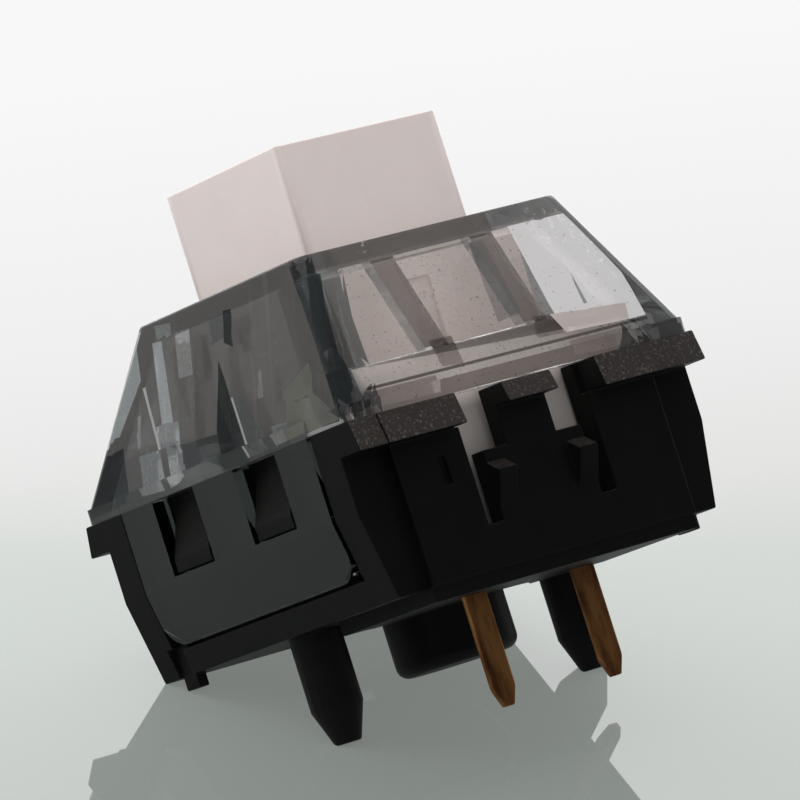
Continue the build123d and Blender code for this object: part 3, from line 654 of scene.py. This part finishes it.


# Panels of the outer faces that the photo shows, each with its own polish and wear, and on the
# rim's lower edge
# a painted highlight: finish, then the corners in mm along the face and in height. Each corner was
# picked in the photo, then carried onto the face through the fitted camera and rounded to 0.05 mm.
# A separate calculation carried it onto the face through the fitted camera, rounded to 0.05 mm
FLAP_SIDE_PANELS = (
    # Dark wedge between the windows, with its worn edge
    ("thick web", ((-0.7, 9.4), (-2.2, 6.0), (-0.7, 6.0), (-0.4, 7.3))),
    ("pale line", ((-1.3, 8.05), (-1.4, 8.05), (-2.3, 6.05), (-2.15, 6.05))),
    # Pale bars and patches towards the lamp side
    ("pale", ((3.05, 10.8), (2.5, 10.75), (2.05, 8.1), (2.7, 8.15))),
    ("milky", ((1.75, 10.8), (0.9, 10.75), (0.8, 9.3), (1.6, 9.35))),
    ("milky", ((4.1, 7.5), (2.9, 7.45), (2.6, 6.1), (3.9, 6.2))),
    ("milky", ((3.0, 8.15), (1.75, 8.1), (1.7, 7.35), (2.8, 7.5))),
    ("milky", ((2.5, 7.35), (1.7, 7.3), (1.4, 6.3), (2.25, 6.1))),
    ("thick web", ((7.1, 7.9), (5.0, 7.95), (4.75, 6.2), (7.1, 6.2))),
    ("pale", ((4.05, 11.3), (3.8, 9.8), (5.15, 8.4), (6.6, 8.05))),
    ("pale line", ((3.75, 9.6), (3.6, 9.55), (2.85, 7.55), (3.0, 7.55))),
    ("milky", ((4.1, 8.8), (3.9, 8.85), (4.0, 7.7), (4.15, 7.75))),
    ("milky", ((2.75, 11.25), (2.1, 11.25), (2.1, 10.8), (2.7, 10.85))),
    # Middle of the face
    ("haze", ((1.7, 7.35), (-0.4, 7.2), (-0.7, 6.1), (1.5, 6.15))),
    ("dim", ((-0.3, 10.75), (-1.05, 10.75), (-1.1, 10.0), (-0.35, 9.95))),
    ("thick web", ((-1.1, 10.8), (-1.5, 10.9), (-1.55, 9.65), (-0.9, 10.05))),
    ("dim", ((-1.35, 8.1), (-1.95, 8.1), (-3.35, 6.1), (-2.35, 6.05))),
    ("milky", ((-2.9, 8.65), (-3.05, 8.6), (-3.1, 7.7), (-2.85, 7.7))),
    # Greenish fields in the corner towards the pins
    ("milky", ((-3.45, 6.7), (-4.3, 6.7), (-4.3, 6.1), (-3.75, 6.1))),
    ("olive", ((-4.3, 7.6), (-5.65, 8.2), (-5.85, 7.2), (-4.35, 7.25))),
    ("olive", ((-4.4, 7.2), (-5.95, 7.15), (-7.2, 6.15), (-3.95, 6.1))),
    # Painted highlight along the lower edge of the rim on both sides of the flap, where the edge
    # catches the light, and a white mark near the top
    ("pale line", ((7.3, 6.05), (7.3, 5.95), (5.6, 5.95), (5.6, 6.05))),
    ("pale line", ((-5.4, 6.1), (-5.4, 5.95), (-7.4, 5.95), (-7.4, 6.1))),
    ("pale line", ((-4.7, 11.0), (-4.8, 11.15), (-4.85, 11.15), (-4.75, 11.0))),
    ("pale line", ((-4.8, 11.15), (-5.05, 11.15), (-5.05, 11.1), (-4.8, 11.1))),
)
PIN_SIDE_PANELS = (
    # Scratch in the right bay, and the dark fields at the near corner
    ("scuff", ((3.85, 8.85), (3.9, 8.85), (3.8, 7.75), (3.65, 7.7))),
    ("teal", ((-5.3, 10.8), (-4.85, 10.7), (-6.1, 8.3), (-6.35, 8.5))),
    ("teal", ((-6.35, 8.15), (-5.8, 8.25), (-6.0, 7.25), (-6.6, 6.45), (-7.0, 7.4))),
    # Groove above the rim
    ("darker rib", ((-5.85, 6.85), (5.6, 6.8), (5.6, 6.7), (-5.9, 6.75))),
    # Pale bay beside the right rib
    ("bay foot", ((2.2, 7.65), (5.15, 7.4), (4.9, 6.85), (2.4, 6.95))),
    ("bay", ((2.7, 10.75), (5.0, 10.75), (5.75, 8.4), (5.6, 6.85), (2.4, 6.95), (2.4, 7.9))),
    # Feet of the ribs, the haze left of the right rib, and the darker fields of the rim
    ("rib foot", ((-2.6, 7.8), (-1.7, 7.75), (-1.85, 6.85), (-2.65, 6.9))),
    ("rib foot", ((1.45, 7.7), (2.2, 7.7), (2.3, 6.9), (1.25, 6.9))),
    ("strip", ((0.95, 10.55), (1.5, 10.55), (1.3, 8.0), (0.2, 7.75))),
    ("rib foot", ((-5.75, 6.7), (-3.1, 6.7), (-3.15, 6.15), (-5.95, 6.2))),
    ("rib foot", ((2.3, 6.65), (4.9, 6.65), (4.85, 6.15), (2.25, 6.2))),
)


# Faces with panels: their place at the top of the rim in mm, their slope and the way they look,
# and for the near flap side how far out and how high it starts in mm
FLAP_SIDE_FOOT = -6.87
FLAP_SIDE_SLOPE = 0.316
FLAP_SIDE_LOOKS = Vector((-0.953, 0, 0.302))
FLAP_SIDE_X = -5.2
FLAP_SIDE_Z = 5.95
PIN_SIDE_FOOT = -7.39
PIN_SIDE_SLOPE = 0.422
PIN_SIDE_LOOKS = Vector((0, -0.921, 0.389))


def flap_side_point(at_y, at_z):
    """A point of the outer face on the near flap side, from its place in mm."""
    return Vector((FLAP_SIDE_FOOT + (at_z - RIM_TOP) * FLAP_SIDE_SLOPE, at_y, at_z)) * MM


def pin_side_point(at_x, at_z):
    """A point of the outer face on the pin side, from its place in mm."""
    return Vector((at_x, PIN_SIDE_FOOT + (at_z - RIM_TOP) * PIN_SIDE_SLOPE, at_z)) * MM


def on_near_flap_side(face):
    """Whether a face belongs to the outer face on the near flap side."""
    outside = face.center.x < FLAP_SIDE_X * MM and face.center.z > FLAP_SIDE_Z * MM
    return face.normal.x < -STRAIGHT and outside


def on_pin_side(face):
    """Whether a face belongs to the outer face on the pin side or to its rounded corners."""
    outside = face.center.y < PIN_WALL_Y * MM and face.center.z > RIM_BOTTOM * MM
    return face.normal.y < -TOWARDS_PINS and outside


def on_flap_edge(face):
    """Whether a face lies on the outermost part of a flap side."""
    return abs(face.center.x) > FLAP_EDGE_X * MM


def on_lamp_side(face):
    """Whether a face lies on the lamp side."""
    return face.center.y > LAMP_WALL_Y * MM


def on_far_flap_side(face):
    """Whether a face lies on the far flap side."""
    return face.center.x > FLAP_WALL_X * MM


# Panels with the function that places their corners, the way their face looks, and its test
PANELLED_SIDES = (
    (FLAP_SIDE_PANELS, flap_side_point, FLAP_SIDE_LOOKS, on_near_flap_side),
    (PIN_SIDE_PANELS, pin_side_point, PIN_SIDE_LOOKS, on_pin_side),
)


def panel_edges(corners, place_of, looks):
    """A point and a plane's normal for each edge of a panel."""
    points = [place_of(*corner) for corner in corners]
    return [
        (start, (end - start).cross(looks)) for start, end in zip(points, points[1:] + points[:1])
    ]


def cut_faces(piece, wanted, point, normal):
    """Cuts the wanted faces of a piece along a plane."""
    bpy.ops.object.mode_set(mode="EDIT")
    bpy.ops.mesh.select_mode(type="FACE")
    bpy.ops.mesh.select_all(action="DESELECT")
    bpy.ops.object.mode_set(mode="OBJECT")
    for face in piece.data.polygons:
        face.select = wanted(face)
    bpy.ops.object.mode_set(mode="EDIT")
    bpy.ops.mesh.bisect(plane_co=point, plane_no=normal, threshold=0.0001 * MM)
    bpy.ops.object.mode_set(mode="OBJECT")


def panel_of(face):
    """The finish of the panel that a face lies in, or None."""
    for panels, place_of, looks, belongs in PANELLED_SIDES:
        if not belongs(face):
            continue
        for finish, corners in panels:
            edges = panel_edges(corners, place_of, looks)
            sides = [normal.dot(face.center - point) > 0 for point, normal in edges]
            if len(set(sides)) == 1:
                return finish
    return None


def black_nylon_moulding():
    """Glass-filled nylon, moulded black: satin, with grey specks on the flange's edge and on upward
    faces, partly scuffs and partly painted light from above.
    """
    material = new_material("glass-filled nylon, black, moulded")
    tree = material.node_tree
    place = add_node(tree, "ShaderNodeTexCoord").outputs["Object"]
    geometry = add_node(tree, "ShaderNodeNewGeometry")
    normal = add_node(tree, "ShaderNodeSeparateXYZ", None, {0: geometry.outputs["True Normal"]})
    at = add_node(tree, "ShaderNodeSeparateXYZ", None, {0: place})
    out_from_middle = add_node(
        tree, "ShaderNodeMath", {"operation": "ABSOLUTE"}, {0: at.outputs["Y"]}
    ).outputs[0]
    towards_plate_edge = add_node(
        tree, "ShaderNodeMath", {"operation": "ABSOLUTE"}, {0: normal.outputs["Y"]}
    ).outputs[0]
    # The flange's outer edge takes the grey speckled colour: scuffs, and painted light on the pads
    # that face up to the lamps
    on_flange = None
    for source, low, high in (
        (out_from_middle, 7.18 * MM, 7.24 * MM),
        (at.outputs["Z"], 4.85 * MM, 4.95 * MM),
        (towards_plate_edge, 0.6, 0.8),
    ):
        share = add_node(
            tree, "ShaderNodeMapRange", {"From Min": low, "From Max": high}, {"Value": source}
        ).outputs["Result"]
        if on_flange is None:
            on_flange = share
        else:
            on_flange = add_node(
                tree, "ShaderNodeMath", {"operation": "MULTIPLY"}, {0: on_flange, 1: share}
            ).outputs[0]
    # Painted light: faces that turn upwards take up to half of the grey speckled colour, as if lit
    # from above
    painted_light_from_above = add_node(
        tree,
        "ShaderNodeMapRange",
        {"From Min": 0.3, "From Max": 0.7, "To Max": 0.5},
        {"Value": normal.outputs["Z"]},
    ).outputs["Result"]
    scuffs_and_painted_light = add_node(
        tree, "ShaderNodeMath", {"operation": "MAXIMUM"}, {0: on_flange, 1: painted_light_from_above}
    ).outputs[0]
    cloud = add_node(
        tree, "ShaderNodeTexNoise", {"Scale": CLOUD_STEPS, "Detail": 4.0}, {"Vector": place}
    ).outputs["Fac"]
    colour = add_node(
        tree,
        "ShaderNodeMix",
        {"data_type": "RGBA", 6: hex_colour("070707"), 7: hex_colour("0d0d0c")},
        {"Factor": cloud},
    ).outputs[2]
    fine = add_node(
        tree, "ShaderNodeTexNoise", {"Scale": SCUFF_STEPS, "Detail": 3.0}, {"Vector": place}
    ).outputs["Fac"]
    specks = add_node(
        tree, "ShaderNodeMapRange", {"From Min": 0.55, "From Max": 0.75}, {"Value": fine}
    ).outputs["Result"]
    scuff = add_node(
        tree,
        "ShaderNodeMix",
        {"data_type": "RGBA", 6: hex_colour("2f2b29"), 7: hex_colour("5a544f")},
        {"Factor": specks},
    ).outputs[2]
    whole = add_node(
        tree, "ShaderNodeMix", {"data_type": "RGBA"}, {"Factor": scuffs_and_painted_light, 6: colour, 7: scuff}
    ).outputs[2]
    bump = add_node(
        tree, "ShaderNodeBump", {"Strength": 0.3, "Distance": RELIEF}, {"Height": fine}
    ).outputs[0]
    plastic = add_node(
        tree,
        "ShaderNodeBsdfPrincipled",
        {"IOR": 1.5, "Specular IOR Level": 0.15, "Roughness": 0.5},
        {"Base Color": whole, "Normal": bump},
    )
    add_node(tree, "ShaderNodeOutputMaterial", None, {"Surface": plastic.outputs[0]})
    return material


def pale_cover_nylon():
    """Off-white nylon, moulded, with painted shade: greyer lower down, where the chamber shades it.
    """
    material = new_material("nylon, off-white, moulded, with painted shade lower down")
    tree = material.node_tree
    place = add_node(tree, "ShaderNodeTexCoord").outputs["Object"]
    height = add_node(tree, "ShaderNodeSeparateXYZ", None, {0: place}).outputs["Z"]
    # Painted shade: below about 6 mm the off-white turns grey, for the shade inside the chamber
    share = add_node(
        tree,
        "ShaderNodeMapRange",
        {"From Min": 5.6 * MM, "From Max": 6.2 * MM},
        {"Value": height},
    ).outputs["Result"]
    colour = add_node(
        tree,
        "ShaderNodeMix",
        {"data_type": "RGBA", 6: hex_colour("a09a96"), 7: hex_colour("e4d9d5")},
        {"Factor": share},
    ).outputs[2]
    plastic = add_node(
        tree, "ShaderNodeBsdfPrincipled", {"IOR": 1.5, "Roughness": 0.5}, {"Base Color": colour}
    )
    add_node(tree, "ShaderNodeOutputMaterial", None, {"Surface": plastic.outputs[0]})
    return material


pink_acetal = moulded_plastic(
    "acetal, pale pink, moulded", "d3c8c5", "d9cecb", roughness=0.42, specular=0.4, subsurface=0.08
)
white_acetal = moulded_plastic(
    "acetal, white, moulded", "d8d6d2", "e0dedb", roughness=0.4, specular=0.5
)
bronze = worn_metal("phosphor bronze strip, tarnished", "bc8350", "70462a", roughness=0.36)
bright_bronze = worn_metal("phosphor bronze leaf, rolled", "c08a5c", "966543", roughness=0.25)
contact_alloy = worn_metal("contact alloy, polished", "e0c080", "c8a566", roughness=0.15)
spring_wire = worn_metal("spring steel wire, drawn", "b8b8ba", "8a8a8c", roughness=0.22)

# Finishes of the clear housing: name, tint, tint of its shadow, haze, wear and tint of the haze,
# and for some the share of the haze's light that goes on into the plastic, and the gloss
CLEAR_FINISHES = {
    "clear": ("moulded", "fafaf8", "fbfaf9", 0.07, 0.16, "d0cecc"),
    # Painted shade: dark tints on the near flap side and its rim, for the shade that falls inside
    # behind them
    "near flap side, painted shade": ("smoky flap side", "646666", "d4d4d4", 0.25, 0.06, "b6b2ae"),
    "smoky rim": ("smoky rim", "4c5052", "a0a0a0", 0.13, 0.05, "a8a6a2"),
    "smoky flap": ("smoky flap", "505452", "a0a0a0", 0.0, 0.015, "a8a8a6", 0.65, 0.3),
    "far flap": ("far flap", "f0f2f2", "d0d0d0", 0.02, 0.1, "d0cecc"),
    # Ribs and the strip above the rim: a darker tint with hardly any haze
    "darker rib": ("rib with a ground face", "706c6a", "c0bcba", 0.03, 0.05, "c8c6c4"),
    "rib foot": ("foot of a rib", "d2cac6", "d0ccca", 0.06, 0.06, "c0b8b4"),
    "scratched border": ("scratched upper border", "f0f0ee", "fbfaf9", 0.13, 0.45, "dedcda"),
    "bay": ("frosted bay", "f4f6f6", "fafafa", 0.54, 0.12, "fefcfc", 0.15),
    "bay foot": ("foot of the frosted bay", "f4efed", "fafafa", 0.45, 0.1, "f0e4e0", 0.15),
    "scuff": ("dark scratch", "707474", "c0c0c0", 0.55, 0.1, "b0b2b2", 0.2),
    "teal": ("teal corner", "4c5a5c", "b0b0b0", 0.1, 0.03, "7c8688"),
    "strip": ("strip with a haze", "e0e2e2", "fafafa", 0.2, 0.1, "c8cccc"),
    "pale": ("pale panel", "d8dcdc", "f0f0f0", 0.5, 0.1, "e0e8ea"),
    # Pale line: worn lines, and a painted highlight on the rim's lower edge
    "pale line": ("pale worn line", "d8dcdc", "f0f0f0", 0.6, 0.2, "eef0f0"),
    "haze": ("hazy foot", "545858", "c0c0c0", 0.12, 0.06, "a0a8aa"),
    "dim": ("dim panel", "686c6c", "c0c0c0", 0.2, 0.06, "b0b8ba"),
    "olive": ("olive panel", "86887f", "b0b0b0", 0.4, 0.06, "b4b5aa"),
    "thick corner": ("thick corner", "505a5c", "b0b0b0", 0.012, 0.04, "c8c6c4"),
    "grey corner": ("grey corner, ground", "9a9c9e", "c0c0c0", 0.6, 0.05, "989a9e"),
    "dusty wall": ("dusty outer wall", "f0f0ee", "fafaf8", 0.5, 0.2, "f2f2f0"),
    "frosted": ("frosted panel", "f0f2f2", "fafafa", 0.7, 0.1, "f4f6f6"),
    "milky": ("milky panel", "d8dcdc", "e0e0e0", 0.3, 0.1, "d0d6d6"),
    "thick web": ("thick dark web", "2c3436", "909494", 0.04, 0.03, "5c6466"),
    "ground border": ("ground edge of the stem opening", "acaaa6", "b8b6b4", 0.4, 0.1, "a8a4a0"),
    "rim": ("rim on the pin side", "b4aca8", "d0ccca", 0.02, 0.08, "c8c6c4"),
}

# Pieces that keep their CAD mesh
for node, material in (
    ("contact_cover", pale_cover_nylon()),
    ("contact_pusher", white_acetal),
    ("leaf_rivet", bronze),
    ("moving_leaf", bright_bronze),
    ("fixed_contact_point", contact_alloy),
    ("moving_contact_point", contact_alloy),
    ("return_spring", spring_wire),
):
    dress(frame["nodes"][node], material)

# Pieces with eased edges
lower = eased_copy("lower_shell", "bottom_housing", width=0.05 * MM)
dress(lower, black_nylon_moulding())
key_stem = eased_copy("key_stem", "stem", width=0.06 * MM)
dress(key_stem, pink_acetal)
sharpen_wall_corners(key_stem)
for pin_name, pin_node in (("near_pin", "fixed_terminal"), ("far_pin", "moving_terminal")):
    dress(eased_copy(pin_name, pin_node, width=0.04 * MM), bronze)

# Clear housing, its faces cut where a finish changes, each with its finish
upper = eased_copy("clear_shell", "top_housing", width=0)
upper.data.materials.clear()
slots = {}
for finish, (name, *settings) in CLEAR_FINISHES.items():
    slots[finish] = len(upper.data.materials)
    upper.data.materials.append(clear_polycarbonate(f"clear polycarbonate, {name}", *settings))
for wanted, height in (
    (on_flap_edge, RIM_BOTTOM),
    (on_lamp_side, LAMP_CORNER_SPLIT),
):
    cut_faces(upper, wanted, (0, 0, height * MM), (0, 0, 1))
cut_faces(upper, on_far_flap_side, (0, FAR_CORNER_SPLIT * MM, 0), (0, 1, 0))
cut_faces(upper, on_pin_side, (0, 0, SCRATCHED_FROM * MM), (0, 0, 1))
for panels, place_of, looks, belongs in PANELLED_SIDES:
    for _, corners in panels:
        for point, normal in panel_edges(corners, place_of, looks):
            cut_faces(upper, belongs, point, normal)
for face in upper.data.polygons:
    face.material_index = slots[panel_of(face) or finish_of(face)]

bpy.context.scene.view_settings.view_transform = "Standard"
